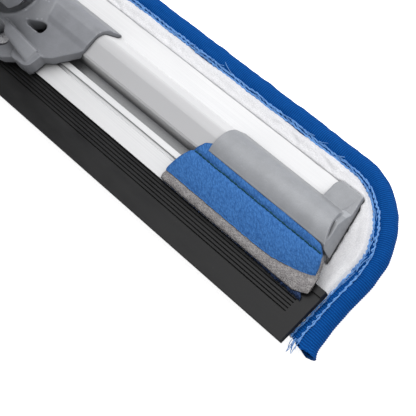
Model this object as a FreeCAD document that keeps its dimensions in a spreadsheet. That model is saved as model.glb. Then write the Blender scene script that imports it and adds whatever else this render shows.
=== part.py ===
"""Two-in-one window squeegee head: rubber blade in front, microfibre washing pad behind.

Frame: +X along the head, +Y from the blade's wiping edge to the back of the pad, +Z up
towards the handle. The origin is the middle of the wiping edge, level with the top face
of the rubber. All lengths are in millimetres.
"""
import FreeCAD
import Part
import math
import os

import Sketcher
from FreeCAD import Vector

os.makedirs("parts", exist_ok=True)
doc = FreeCAD.newDocument("squeegee_head")

# ---------------------------------------------------------------------------------------
# Driving dimensions: alias, value, what it is
# ---------------------------------------------------------------------------------------
DIMENSIONS = [
    ("rubber_half", 228.0, "half the length of the rubber blade"),
    ("rubber_width", 28.5, "rubber blade, front to back"),
    ("rubber_thick", 2.4, "rubber blade thickness"),
    ("rib_first", 11.3, "first grip rib groove from the wiping edge"),
    ("rib_pitch", 1.6, "distance between rib grooves"),
    ("rib_depth", 0.6, "depth of a rib groove"),
    ("rib_half", 220.0, "half the length of the rib grooves"),
    ("profile_half", 206.0, "half the length of the aluminium profile"),
    ("floor_top", -2.4, "top of the profile's base plate"),
    ("floor_thick", 1.6, "thickness of the base plate"),
    ("lip_front", 19.6, "front edge of the lip that holds the rubber"),
    ("lip_rear", 28.9, "back edge of the bright front flange"),
    ("strip_front", 30.9, "front edge of the raised strip behind the flange"),
    ("strip_rear", 33.6, "back edge of the raised strip, where the slot starts"),
    ("strip_top", 3.2, "height of the raised strip"),
    ("spine_front", 38.6, "foot of the spine's front wall"),
    ("spine_edge", 39.9, "front top edge of the hollow spine"),
    ("spine_edge_top", 7.9, "height of the spine's front edge"),
    ("crest", 48.4, "front end of the spine's rounded crest"),
    ("crest_top", 9.3, "height of the crest"),
    ("spine_foot", 59.3, "back foot of the spine"),
    ("plate_rear", 70.2, "back edge of the base plate"),
    ("cover_start", 140.9, "inner end of an end cap's cover"),
    ("cover_end_front", 217.8, "outer end of the cover at the spine's front wall"),
    ("cover_end_rear", 207.1, "outer end of the cover behind its back foot"),
    ("cap_outer_rear", 208.6, "outer end of an end cap's flange at its back corner"),
    ("cap_outer_front", 215.2, "outer end of an end cap's flange at its front corner"),
    ("cap_rear", 70.8, "back edge of an end cap's flange"),
    ("tab_inner", 193.6, "inner edge of an end cap's tab"),
    ("tab_thick", 2.9, "thickness of the tab on the base plate"),
    ("wipe_inner", 127.8, "inner end of an end wipe"),
    ("wipe_outer", 221.6, "outer end of an end wipe"),
    ("pad_half", 237.5, "half the length of the washing pad"),
    ("pad_front", 4.6, "front edge of the washing pad"),
    ("pad_rear", 87.6, "back edge of the washing pad"),
    ("pad_corner", 46.0, "radius of the pad's back corners"),
    ("pad_bottom", -15.0, "underside of the fleece"),
    ("fleece_rim", -3.2, "top of the fleece around the base plate"),
    ("binding_width", 10.4, "width of the edge binding"),
    ("binding_bottom", -12.0, "underside of the edge binding"),
    ("binding_height", 8.6, "thickness of the bound edge"),
    ("bracket_half", 50.4, "half the length of the centre bracket"),
    ("pivot_y", 41.5, "front-to-back place of the swivel axis"),
    ("hub_top", 19.0, "rim of the swivel pocket"),
    ("hub_floor", 14.6, "floor of the swivel pocket"),
    ("hinge_z", 43.0, "height of the tilt hinge"),
    ("ear_radius", 12.0, "radius of the fork ears"),
    ("ear_inner", 9.0, "inner face of a fork ear from the middle"),
    ("ear_outer", 14.5, "outer face of a fork ear from the middle"),
    ("neck_radius", 12.0, "radius of the handle's neck"),
    ("handle_top", 190.0, "open end of the handle"),
    ("pole_radius", 11.6, "radius of the bore for an extension pole"),
    ("pole_depth", 85.0, "depth of the bore for an extension pole"),
]

sheet = doc.addObject("Spreadsheet::Sheet", "Sizes")
for row, (alias, value, meaning) in enumerate(DIMENSIONS, start=1):
    sheet.set("A%d" % row, alias)
    sheet.set("B%d" % row, str(value))
    sheet.setAlias("B%d" % row, alias)
    sheet.set("C%d" % row, meaning)
doc.recompute()


class Size:
    """A number together with the sheet expression that it comes from."""

    def __init__(self, value, text=None):
        self.value = float(value)
        self.text = text if text else "%.4f" % value

    def __add__(self, other):
        other = sized(other)
        return Size(self.value + other.value, "(%s + %s)" % (self.text, other.text))

    def __sub__(self, other):
        other = sized(other)
        return Size(self.value - other.value, "(%s - %s)" % (self.text, other.text))

    def __mul__(self, factor):
        return Size(self.value * factor, "(%s * %.4f)" % (self.text, factor))

    def __neg__(self):
        return self * -1.0


def sized(number):
    return number if isinstance(number, Size) else Size(number)


class Sheet:
    """Gives each alias of the sheet as an attribute."""

    def __init__(self, rows):
        for name, number, _ in rows:
            setattr(self, name, Size(number, "Sizes.%s" % name))


dim = Sheet(DIMENSIONS)


# ---------------------------------------------------------------------------------------
# Sketch and solid helpers
# ---------------------------------------------------------------------------------------
def bind(target, path, number):
    """Sets one property from the sheet."""
    target.setExpression(path, sized(number).text)


def origin_feature(body, role):
    return [item for item in body.Origin.OriginFeatures if item.Role == role][0]


def new_sketch(body, name, role, offset=0.0):
    sketch = body.newObject("Sketcher::SketchObject", name)
    sketch.AttachmentSupport = [(origin_feature(body, role), "")]
    sketch.MapMode = "FlatFace"
    bind(sketch, "AttachmentOffset.Base.z", offset)
    return sketch


def pin_point(sketch, geometry, end, u, v):
    """Fixes one end point of a sketch line at sheet-driven coordinates."""
    for kind, number in (("DistanceX", sized(u)), ("DistanceY", sized(v))):
        rule = Sketcher.Constraint(kind, -1, 1, geometry, end, number.value)
        index = sketch.addConstraint(rule)
        sketch.setExpression("Constraints[%d]" % index, number.text)


def arc_middle(start, stop, radius):
    """Mid point of an arc; a positive radius bulges to the left of start -> stop."""
    chord = stop - start
    half = chord.Length / 2.0
    rise = abs(radius) - math.sqrt(radius * radius - half * half)
    left = Vector(-chord.y, chord.x, 0).normalize()
    return (start + stop) * 0.5 + left * math.copysign(rise, radius)


def draw_outline(sketch, corners):
    """Closed outline; a corner is (u, v) or (u, v, radius) for an arc that ends there."""
    spots = [Vector(sized(c[0]).value, sized(c[1]).value, 0) for c in corners]
    drawn = []
    for index, corner in enumerate(corners):
        start = spots[index - 1]
        stop = spots[index]
        if len(corner) == 3:
            curve = Part.Arc(start, arc_middle(start, stop, corner[2]), stop)
        else:
            curve = Part.LineSegment(start, stop)
        geometry = sketch.addGeometry(curve)
        forward = (sketch.getPoint(geometry, 1) - start).Length < 1e-6
        first, last = (1, 2) if forward else (2, 1)
        if len(corner) == 3:
            sketch.addConstraint(Sketcher.Constraint("Radius", geometry, abs(corner[2])))
        drawn.append((geometry, first, last))
    for index, (geometry, first, last) in enumerate(drawn):
        before = drawn[index - 1]
        sketch.addConstraint(Sketcher.Constraint("Coincident", before[0], before[2], geometry, first))
        pin_point(sketch, geometry, last, corners[index][0], corners[index][1])


def draw_circle(sketch, u, v, radius):
    u, v, radius = sized(u), sized(v), sized(radius)
    circle = Part.Circle(Vector(u.value, v.value, 0), Vector(0, 0, 1), radius.value)
    geometry = sketch.addGeometry(circle)
    pin_point(sketch, geometry, 3, u, v)
    index = sketch.addConstraint(Sketcher.Constraint("Radius", geometry, radius.value))
    sketch.setExpression("Constraints[%d]" % index, radius.text)


def prism(name, role, start, length, outlines, circles=()):
    """A body padded from closed outlines along the normal of an origin plane."""
    body = doc.addObject("PartDesign::Body", name)
    sketch = new_sketch(body, name + "_outline", role, start)
    for corners in outlines:
        draw_outline(sketch, corners)
    for u, v, radius in circles:
        draw_circle(sketch, u, v, radius)
    pad = body.newObject("PartDesign::Pad", name + "_pad")
    pad.Profile = sketch
    bind(pad, "Length", length)
    sketch.Visibility = False
    return body


def turned(name, corners, x=0.0, y=0.0):
    """A body revolved about a vertical axis at (x, y); corners are (radius, height)."""
    body = doc.addObject("PartDesign::Body", name)
    sketch = new_sketch(body, name + "_outline", "XZ_Plane")
    draw_outline(sketch, corners)
    turn = body.newObject("PartDesign::Revolution", name + "_turn")
    turn.Profile = sketch
    turn.ReferenceAxis = (sketch, ["V_Axis"])
    turn.Angle = 360.0
    bind(body, "Placement.Base.x", x)
    bind(body, "Placement.Base.y", y)
    return body


def block(name, low, high):
    box = doc.addObject("Part::Box", name)
    for key, a, b in zip(("Length", "Width", "Height"), low, high):
        bind(box, key, sized(b) - a)
    for key, a in zip("xyz", low):
        bind(box, "Placement.Base." + key, a)
    return box


AXIS_TURN = {
    "x": FreeCAD.Rotation(Vector(0, 1, 0), 90),
    "y": FreeCAD.Rotation(Vector(1, 0, 0), -90),
    "z": FreeCAD.Rotation(),
}


def rod(name, axis, base, radius, length):
    """A cylinder that starts at base and runs along +axis."""
    cylinder = doc.addObject("Part::Cylinder", name)
    cylinder.Placement = FreeCAD.Placement(Vector(), AXIS_TURN[axis])
    for key, a in zip("xyz", base):
        bind(cylinder, "Placement.Base." + key, a)
    bind(cylinder, "Radius", radius)
    bind(cylinder, "Height", length)
    return cylinder


def cut(name, base, tool):
    result = doc.addObject("Part::Cut", name)
    result.Base = base
    result.Tool = tool
    return result


def common(name, base, tool):
    result = doc.addObject("Part::Common", name)
    result.Base = base
    result.Tool = tool
    return result


def fuse(name, pieces):
    result = doc.addObject("Part::MultiFuse", name)
    result.Shapes = pieces
    result.Refine = True
    return result


def group(name, pieces):
    result = doc.addObject("Part::Compound", name)
    result.Links = pieces
    return result


def mirrored(name, source):
    """The same piece for the other end of the head."""
    result = doc.addObject("Part::Mirroring", name)
    result.Source = source
    result.Normal = Vector(1, 0, 0)
    return result


nodes = {}


def keep(label, piece):
    """Names a finished sub-part; the label is also its file's name."""
    piece.Label = label
    nodes[label] = piece


# ---------------------------------------------------------------------------------------
# Shared outlines, in (Y, Z)
# ---------------------------------------------------------------------------------------
floor_bottom = dim.floor_top - dim.floor_thick
lip_under = 0.1
bead_top = 0.9
bead_front = dim.rubber_width - 3.6
CREST_RADIUS = 7.5
SCREW_X = 8.0
SCREW_Y = 21.4
NOTCH_STEP = 30.0
NOTCH_HALF = 1.5
PRONG_HALF = 1.2
RIB_COUNT = 6
RIB_SPREAD = 0.6


def spine_outline(gap):
    """Outer shape of the spine from its front edge to its back foot, grown by gap."""
    return [
        (dim.spine_edge - gap, dim.spine_edge_top - 0.9),
        (dim.spine_edge + 0.9 - gap * 0.4, dim.spine_edge_top + gap),
        (dim.crest - gap * 0.2, dim.crest_top + gap),
        (dim.crest + 6.0 + gap, dim.crest_top - 2.2 + gap * 0.6, CREST_RADIUS),
        (dim.spine_foot - 0.6 + gap, dim.floor_top + 1.0),
        (dim.spine_foot + 0.4 + gap, dim.floor_top),
    ]


# ---------------------------------------------------------------------------------------
# Head: aluminium profile, rubber, end caps
# ---------------------------------------------------------------------------------------
def build_profile():
    """One extrusion: rubber channel, slot, hollow spine and flat base plate."""
    outer = [
        (dim.lip_front + 1.6, floor_bottom),
        (dim.plate_rear, floor_bottom),
        (dim.plate_rear, dim.floor_top),
    ]
    back = spine_outline(0.0)
    outer += [
        back[5],
        back[4],
        (back[3][0], back[3][1]),
        (back[2][0], back[2][1], -CREST_RADIUS),
        back[1],
        back[0],
        (dim.spine_front, dim.floor_top),
        (dim.strip_rear, dim.floor_top),
        (dim.strip_rear, dim.strip_top),
        (dim.strip_front, dim.strip_top - 0.1),
        (dim.strip_front - 0.3, 1.9),
        (dim.lip_rear + 0.3, 1.9),
        (dim.lip_rear, 2.7),
        (dim.lip_front, 1.7),
        (dim.lip_front, lip_under),
        (bead_front - 0.1, lip_under),
        (bead_front - 0.1, bead_top + 0.1),
        (dim.rubber_width + 0.1, bead_top + 0.1),
        (dim.rubber_width + 0.1, dim.floor_top),
        (dim.lip_front + 1.6, dim.floor_top),
    ]
    hollow = [
        (dim.spine_front + 1.7, dim.floor_top),
        (dim.spine_foot - 1.9, dim.floor_top),
        (dim.crest + 4.6, dim.crest_top - 3.4),
        (dim.crest, dim.crest_top - 1.5),
        (dim.spine_edge + 1.6, dim.spine_edge_top - 1.5),
    ]
    bar = prism("Profile", "YZ_Plane", -dim.profile_half, dim.profile_half * 2, [outer, hollow])
    drilled = fuse("Lip_holes", [rod("Lip_hole_right", "z", (SCREW_X, SCREW_Y, -0.5), 1.65, 4.0),
                                 rod("Lip_hole_left", "z", (-SCREW_X, SCREW_Y, -0.5), 1.65, 4.0)])
    keep("head_profile", cut("Head_profile", bar, drilled))


def build_rubber():
    """Flat blade with grip ribs in front of the channel and a bead that the channel holds."""
    outline = [
        (0.0, -dim.rubber_thick),
        (dim.rubber_width, -dim.rubber_thick),
        (dim.rubber_width, bead_top - 0.2),
        (dim.rubber_width - 0.2, bead_top),
        (bead_front + 0.2, bead_top),
        (bead_front, 0.0),
        (0.25, 0.0),
        (0.0, -0.25),
    ]
    strip = prism("Rubber", "YZ_Plane", -dim.rubber_half, dim.rubber_half * 2, [outline])
    grooves = []
    for index in range(RIB_COUNT):
        middle = dim.rib_first + dim.rib_pitch * index
        grooves.append([
            (middle - RIB_SPREAD, RIB_SPREAD),
            (middle, -dim.rib_depth),
            (middle + RIB_SPREAD, RIB_SPREAD),
        ])
    ribbing = prism("Rib_grooves", "YZ_Plane", -dim.rib_half, dim.rib_half * 2, grooves)
    keep("squeegee_rubber", cut("Squeegee_rubber", strip, ribbing))


def build_end_caps():
    """Moulded cap: half-tube cover, tab, flange, sloping end wall and a plug in the spine."""
    gap = 0.06
    inner = spine_outline(gap)
    tube_foot = dim.floor_top + 0.05
    cover_outline = [
        (dim.spine_edge + 2.0, dim.spine_edge_top + 0.95),
        (dim.spine_edge + 5.4, dim.spine_edge_top + 1.55),
        (dim.spine_edge + 5.6, dim.spine_edge_top + 0.95),
        (inner[2][0], inner[2][1]),
        (inner[3][0], inner[3][1], CREST_RADIUS),
        (inner[4][0], inner[4][1]),
        (inner[5][0], tube_foot),
        (dim.spine_foot + 1.7, tube_foot),
        (dim.spine_foot - 0.5, 3.6),
        (dim.crest + 2.0, dim.crest_top + 1.7, -10.5),
        (dim.spine_edge + 2.6, dim.spine_edge_top + 1.7, -11.0),
        (dim.spine_edge + 2.0, dim.spine_edge_top + 1.45, -0.7),
    ]
    cover = prism("Cover", "YZ_Plane", dim.cover_start, dim.cover_end_front - dim.cover_start,
                  [cover_outline])
    cover_rear = dim.spine_foot + 3.0
    slanted = prism("Cover_trim", "XY_Plane", floor_bottom, 30.0, [[
        (dim.cover_start - 1.0, dim.spine_front),
        (dim.cover_end_front, dim.spine_front),
        (dim.cover_end_rear, cover_rear),
        (dim.cover_start - 1.0, cover_rear),
    ]])
    tube = common("Cover_tube", cover, slanted)
    wall_inner = dim.profile_half + 0.15
    tab_top = dim.floor_top + dim.tab_thick
    flange = prism("Flange", "XY_Plane", floor_bottom, tab_top - floor_bottom, [[
        (wall_inner, dim.spine_front),
        (dim.cap_outer_front, dim.spine_front),
        (dim.cap_outer_rear, dim.cap_rear),
        (wall_inner, dim.cap_rear),
    ]])
    wall_front = dim.spine_front + 2.0
    wall_bar = prism("Wall_bar", "YZ_Plane", wall_inner, 12.0, [[
        (wall_front, dim.floor_top + 0.1),
        (dim.cap_rear, dim.floor_top + 0.1),
        (dim.cap_rear, tab_top),
        (dim.spine_foot + 2.0, tab_top + 0.3),
        (dim.spine_foot - 1.6, tab_top + 3.9),
        (dim.crest + 4.6, dim.crest_top - 1.5),
        (dim.crest - 2.4, dim.crest_top - 1.0),
        (dim.spine_edge + 3.9, dim.spine_edge_top + 1.35),
        (dim.spine_edge + 2.0, dim.spine_edge_top + 1.1),
        (wall_front, dim.spine_edge_top - 0.7),
    ]])
    wall_plan = prism("Wall_plan", "XY_Plane", floor_bottom, 30.0, [[
        (wall_inner, wall_front),
        (dim.cap_outer_front + 1.4, wall_front),
        (dim.cap_outer_rear, dim.cap_rear),
        (wall_inner, dim.spine_foot - 1.3),
    ]])
    wall = common("Wall", wall_bar, wall_plan)
    corner = 3.6
    tab_plan = [
        (wall_inner + 0.5, dim.spine_foot - 0.6),
        (wall_inner + 0.5, dim.cap_rear),
        (dim.tab_inner + corner, dim.cap_rear),
        (dim.tab_inner, dim.cap_rear - corner, -corner),
        (dim.tab_inner, dim.spine_foot - 0.6),
    ]
    tab_slab = prism("Tab_slab", "XY_Plane", dim.floor_top + 0.05, dim.tab_thick - 0.05, [tab_plan])
    clear_length = dim.profile_half - dim.tab_inner + 1.1
    spine_clear = prism("Tab_clear", "YZ_Plane", dim.tab_inner - 1.0, clear_length, [[
        (dim.spine_front, dim.floor_top - 1.0),
        (inner[5][0], dim.floor_top - 1.0),
        (inner[5][0], inner[5][1]),
        (inner[4][0], inner[4][1]),
        (inner[3][0], inner[3][1]),
        (dim.spine_front, dim.crest_top),
    ]])
    tab = cut("Tab", tab_slab, spine_clear)
    fit = 0.1
    plug = prism("Plug", "YZ_Plane", dim.profile_half - 26.0, 27.0, [[
        (dim.spine_front + 1.9 + fit, dim.floor_top + fit),
        (dim.spine_foot - 2.2, dim.floor_top + fit),
        (dim.crest + 4.4, dim.crest_top - 3.7),
        (dim.crest, dim.crest_top - 1.7),
        (dim.spine_edge + 1.8, dim.spine_edge_top - 1.8),
    ]])
    right = fuse("Cap_right", [tube, flange, wall, tab, plug])
    left = mirrored("Cap_left", right)
    keep("end_cap_right", right)
    keep("end_cap_left", left)


def build_wipes():
    """Absorbent strip at each end: blue cloth, foam core and cloth backing, bonded."""
    rear = dim.spine_edge + 5.2
    inside = dim.profile_half - 0.2
    span = dim.wipe_outer - dim.wipe_inner
    short = inside - dim.wipe_inner
    front_cloth = dim.lip_front + 4.6
    slope_rear = dim.spine_front - 0.4
    layers = {}
    over_spine = [
        (slope_rear, dim.spine_edge_top + 0.8),
        (slope_rear, dim.spine_edge_top + 0.3),
        (dim.spine_edge + 0.9, dim.spine_edge_top + 0.12),
        (rear, dim.spine_edge_top + 0.79),
        (rear, dim.spine_edge_top + 1.25),
        (dim.spine_edge + 0.9, dim.spine_edge_top + 0.7),
    ]
    over_slot = [
        (front_cloth, 5.2),
        (front_cloth, 4.5),
        (slope_rear, dim.spine_edge_top + 0.3),
        (slope_rear, dim.spine_edge_top + 0.8),
    ]
    layers["wipe_cloth"] = fuse("Wipe_cloth", [
        prism("Wipe_cloth_front", "YZ_Plane", dim.wipe_inner, span, [over_slot]),
        prism("Wipe_cloth_rear", "YZ_Plane", dim.wipe_inner + 6.0, short - 6.0, [over_spine]),
    ])
    layers["wipe_foam"] = prism("Wipe_foam", "YZ_Plane", dim.wipe_inner, span, [[
        (dim.lip_front + 1.2, 2.9),
        (dim.strip_front, 4.2),
        (slope_rear, 4.9),
        (slope_rear, dim.spine_edge_top + 0.25),
        (front_cloth, 4.45),
    ]])
    layers["wipe_backing"] = prism("Wipe_backing", "YZ_Plane", dim.wipe_inner, span, [[
        (dim.lip_front + 0.8, 2.2),
        (dim.strip_front, 3.5),
        (slope_rear, 4.2),
        (slope_rear, 4.85),
        (dim.strip_front, 4.15),
        (dim.lip_front + 0.8, 2.85),
    ]])
    for label, piece in layers.items():
        keep(label + "_right", piece)
        keep(label + "_left", mirrored(piece.Name + "_left", piece))


# ---------------------------------------------------------------------------------------
# Washing pad
# ---------------------------------------------------------------------------------------
def pad_plan(inset, front):
    """Plan of the pad: square at the front, two large rounded corners at the back."""
    side = dim.pad_half - inset
    back = dim.pad_rear - inset
    radius = dim.pad_corner.value - sized(inset).value
    return [
        (side, front),
        (side, back - radius),
        (side - radius, back, -radius),
        (-side + radius, back),
        (-side, back - radius, -radius),
        (-side, front),
    ]


def build_pad():
    """Hook tape under the base plate, backing cloth, fleece and edge binding."""
    tape_top = floor_bottom - 0.02
    tape_thick = 1.0
    strips = []
    for name, low, high in (("Hook_front", 24.0, 42.0), ("Hook_rear", 50.0, 68.0)):
        strips.append(block(name, (-dim.profile_half + 6.0, low, tape_top - tape_thick),
                            (dim.profile_half - 6.0, high, tape_top)))
    keep("hook_tape", group("Hook_tape", strips))
    backing_top = tape_top - tape_thick - 0.02
    backing_bottom = backing_top - 1.1
    keep("pad_backing", block("Backing", (-dim.profile_half, dim.pad_front + 2.0, backing_bottom),
                              (dim.profile_half, dim.plate_rear, backing_top)))
    gap = 0.1
    fleece = prism("Fleece_block", "XY_Plane", dim.pad_bottom, dim.fleece_rim - dim.pad_bottom,
                   [pad_plan(dim.binding_width + gap, dim.pad_front + 1.0)])
    reach = dim.cap_outer_front + 0.2
    recess = block("Hardware_recess", (-reach, 0.0, backing_bottom - gap),
                   (reach, dim.cap_rear + gap, 30.0))
    keep("pad_fleece", cut("Pad_fleece", fleece, recess))
    outer = prism("Binding_outer", "XY_Plane", dim.binding_bottom, dim.binding_height,
                  [pad_plan(0.0, dim.pad_front)])
    inner = prism("Binding_inner", "XY_Plane", dim.binding_bottom - 1.0, dim.binding_height + 2.0,
                  [pad_plan(dim.binding_width, dim.pad_front - 20.0)])
    keep("edge_binding", cut("Edge_binding", outer, inner))


# ---------------------------------------------------------------------------------------
# Centre bracket with swivel pocket
# ---------------------------------------------------------------------------------------
WING_FRONT_TOP = 8.4
HUB_RADIUS = 15.4
HUB_FLARE = 27.0


def build_bracket():
    """Saddle over the spine with wings to the front, lugs over the lip, ribs and a hub."""
    inner = spine_outline(0.1)
    foot = dim.floor_top + 0.05
    section = [
        (12.0, 2.9),
        (dim.lip_rear, 3.9),
        (dim.strip_rear + 1.0, 4.3),
        (dim.spine_front - 0.2, 4.5),
        (inner[0][0] - 0.1, inner[0][1]),
        (inner[1][0], inner[1][1]),
        (inner[2][0], inner[2][1]),
        (inner[3][0], inner[3][1], CREST_RADIUS),
        (inner[4][0], inner[4][1]),
        (inner[5][0], foot),
        (dim.spine_foot + 1.9, foot),
        (dim.spine_foot - 0.8, 4.2),
        (dim.crest + 2.4, dim.crest_top + 2.3, -10.5),
        (dim.crest - 4.4, dim.crest_top + 2.0),
        (dim.crest - 7.2, dim.crest_top + 0.9),
        (12.0, WING_FRONT_TOP),
    ]
    bar = prism("Saddle_bar", "YZ_Plane", -dim.bracket_half, dim.bracket_half * 2, [section])
    plan_half = [
        (0.0, 12.4),
        (12.0, 12.4),
        (15.5, 13.2),
        (27.0, 20.7),
        (39.3, 28.3),
        (49.2, 38.9),
        (dim.bracket_half, 41.0),
        (dim.bracket_half, 64.0),
    ]
    plan = plan_half + [(-sized(x), y) for x, y in reversed(plan_half[1:])]
    column = prism("Saddle_column", "XY_Plane", -10.0, 40.0, [plan])
    saddle = common("Saddle", bar, column)
    lugs = []
    ribs = []
    for side, sign in (("right", 1.0), ("left", -1.0)):
        lug_plan = [
            (sign * 34.6, 26.5),
            (sign * 20.0, 24.0),
            (sign * 19.4, 19.0),
            (sign * 23.0, 16.4, sign * -4.2),
            (sign * 30.0, 16.9),
            (sign * 33.8, 20.4, sign * -4.4),
        ]
        lugs.append(prism("Lug_" + side, "XY_Plane", 3.2, 7.0, [lug_plan]))
        drop_plan = [
            (sign * 32.0, 19.4),
            (sign * 19.6, 19.4),
            (sign * 23.0, 16.4, sign * -4.6),
            (sign * 30.0, 16.9),
        ]
        lugs.append(prism("Lug_drop_" + side, "XY_Plane", 0.3, 4.0, [drop_plan]))
        ribs.append(build_rib(side, sign))
    hub = turned("Hub", [
        (0.0, 7.5),
        (HUB_FLARE, 7.5),
        (HUB_FLARE, 8.2),
        (HUB_RADIUS, dim.hub_top - 1.4, 16.0),
        (HUB_RADIUS - 0.9, dim.hub_top, -1.4),
        (HUB_RADIUS - 1.3, dim.hub_top),
        (HUB_RADIUS - 2.1, dim.hub_top - 0.8, -0.85),
        (HUB_RADIUS - 2.2, dim.hub_floor),
        (0.0, dim.hub_floor),
    ], 0.0, dim.pivot_y)
    hub_front = common("Hub_front", hub, block("Hub_box", (-40.0, 0.0, 0.0), (40.0, 52.0, 40.0)))
    hub_wall = turned("Hub_wall", [
        (HUB_RADIUS - 2.2, 9.9),
        (HUB_RADIUS + 0.6, 9.9),
        (HUB_RADIUS, dim.hub_top - 1.4),
        (HUB_RADIUS - 0.9, dim.hub_top, -1.4),
        (HUB_RADIUS - 1.3, dim.hub_top),
        (HUB_RADIUS - 2.1, dim.hub_top - 0.8, -0.85),
    ], 0.0, dim.pivot_y)
    solid = fuse("Bracket_solid", [saddle, hub_front, hub_wall] + lugs + ribs)
    beyond = dim.bracket_half + 5.0
    spine_space = prism("Spine_space", "YZ_Plane", -beyond, beyond * 2, [[
        (dim.lip_front - 0.3, dim.floor_top),
        (inner[5][0], dim.floor_top),
        (inner[4][0], inner[4][1]),
        (inner[3][0], inner[3][1]),
        (inner[2][0], inner[2][1], -CREST_RADIUS),
        (inner[1][0], inner[1][1]),
        (inner[0][0] - 0.1, inner[0][1]),
        (dim.spine_front - 0.2, 4.5),
        (dim.lip_rear, 3.6),
        (dim.lip_front - 0.3, 2.9),
    ]])
    cleared = cut("Bracket_cleared", solid, spine_space)
    holes = [
        rod("Bracket_pivot_hole", "z", (0.0, dim.pivot_y, 5.0), 4.1, 20.0),
        rod("Bracket_head_space", "z", (0.0, dim.pivot_y, 5.0), 6.6, dim.hub_floor - 5.0 - 2.2),
    ]
    for side, sign in (("right", 1.0), ("left", -1.0)):
        holes.append(rod("Screw_hole_" + side, "z", (sign * SCREW_X, SCREW_Y, 0.0), 1.7, 20.0))
        holes.append(rod("Screw_sink_" + side, "z", (sign * SCREW_X, SCREW_Y, 6.2), 4.4, 20.0))
        window = [
            (sign * 16.6, 33.4, sign * -1.0),
            (sign * 21.8, 34.0),
            (sign * 24.2, 36.2, sign * -2.1),
            (sign * 24.2, 37.4),
            (sign * 21.6, 39.4, sign * -2.0),
            (sign * 20.4, 39.1),
            (sign * 15.8, 34.9),
        ]
        holes.append(prism("Window_" + side, "XY_Plane", 2.0, 20.0, [window]))
    bracket = cut("Bracket", cleared, fuse("Bracket_holes", holes))
    keep("centre_bracket", bracket)


def build_rib(side, sign):
    """Strut that comes down from the middle of the bracket and widens into a lug."""
    body = doc.addObject("PartDesign::Body", "Rib_" + side)
    high = new_sketch(body, "Rib_high_" + side, "YZ_Plane", 0.0)
    draw_outline(high, [(24.6, 8.0), (28.4, 8.0), (28.4, 19.6), (27.4, 20.6), (25.6, 20.6), (24.6, 19.6)])
    low = new_sketch(body, "Rib_low_" + side, "YZ_Plane", sign * 31.0)
    draw_outline(low, [(18.6, 7.0), (27.0, 7.0), (27.0, 10.2), (26.2, 11.0), (19.4, 11.0), (18.6, 10.2)])
    loft = body.newObject("PartDesign::AdditiveLoft", "Rib_loft_" + side)
    loft.Profile = high
    loft.Sections = [low]
    loft.Ruled = True
    return body


def build_bracket_fasteners():
    """Two screws that thread into the lip, and the swivel bolt."""
    screws = []
    for side, sign in (("right", 1.0), ("left", -1.0)):
        x = sign * SCREW_X
        shank = rod("Screw_shank_" + side, "z", (x, SCREW_Y, 0.4), 1.6, 6.0)
        head = rod("Screw_head_" + side, "z", (x, SCREW_Y, 6.25), 3.4, 1.9)
        slot = block("Screw_slot_" + side, (x - 2.6, SCREW_Y - 0.4, 7.5), (x + 2.6, SCREW_Y + 0.4, 9.0))
        screws.append(cut("Screw_" + side, fuse("Screw_solid_" + side, [shank, head]), slot))
    keep("bracket_screws", group("Bracket_screws", screws))
    head = rod("Pivot_head", "z", (0.0, dim.pivot_y, dim.hub_floor - 4.9), 6.0, 2.6)
    shank = rod("Pivot_shank", "z", (0.0, dim.pivot_y, dim.hub_floor - 2.4), 4.0, 16.0)
    keep("swivel_bolt", fuse("Swivel_bolt", [head, shank]))


# ---------------------------------------------------------------------------------------
# Swivel fork and its hardware
# ---------------------------------------------------------------------------------------
def build_fork():
    """Post that turns in the pocket, with two notched ears for the tilt hinge."""
    half_depth = 10.5
    y_low = dim.pivot_y - half_depth
    y_high = dim.pivot_y + half_depth
    post = rod("Fork_post", "z", (0.0, dim.pivot_y, dim.hub_floor + 1.05), 7.0, 11.0)
    base = block("Fork_base", (-dim.ear_outer, y_low, 24.4), (dim.ear_outer, y_high, 30.0))
    base_round = common("Fork_base_round", base,
                        rod("Fork_base_rod", "z", (0.0, dim.pivot_y, 20.0), 15.4, 20.0))
    pieces = [post, base_round]
    for side, start in (("right", dim.ear_inner), ("left", -dim.ear_outer)):
        width = dim.ear_outer - dim.ear_inner
        disc = rod("Ear_disc_" + side, "x", (start, dim.pivot_y, dim.hinge_z), dim.ear_radius, width)
        web = block("Ear_web_" + side, (start, y_low, 27.0), (start + width, y_high, dim.hinge_z))
        web_round = common("Ear_web_round_" + side, web,
                           rod("Ear_web_rod_" + side, "z", (0.0, dim.pivot_y, 20.0), 15.4, 40.0))
        pieces += [disc, web_round]
    solid = fuse("Fork_solid", pieces)
    tools = [
        rod("Fork_bolt_hole", "z", (0.0, dim.pivot_y, dim.hub_floor), 5.6, 13.8),
        rod("Fork_pin_hole", "x", (-20.0, dim.pivot_y, dim.hinge_z), 3.05, 40.0),
        rod("Fork_head_space", "x", (dim.ear_outer - 2.4, dim.pivot_y, dim.hinge_z), 5.6, 4.0),
        rod("Fork_nut_space", "x", (-dim.ear_outer - 1.6, dim.pivot_y, dim.hinge_z), 5.6, 4.0),
    ]
    notch_floor = dim.ear_radius - 3.2
    for number in range(5):
        notch = block("Notch_%d" % number, (-20.0, -NOTCH_HALF, notch_floor), (20.0, NOTCH_HALF, 20.0))
        turned_notch = group("Notch_turned_%d" % number, [notch])
        angle = (number - 2) * NOTCH_STEP
        turned_notch.Placement = FreeCAD.Placement(Vector(), FreeCAD.Rotation(Vector(1, 0, 0), angle))
        bind(turned_notch, "Placement.Base.y", dim.pivot_y)
        bind(turned_notch, "Placement.Base.z", dim.hinge_z)
        tools.append(turned_notch)
    keep("swivel_fork", cut("Swivel_fork", solid, fuse("Fork_tools", tools)))


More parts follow.
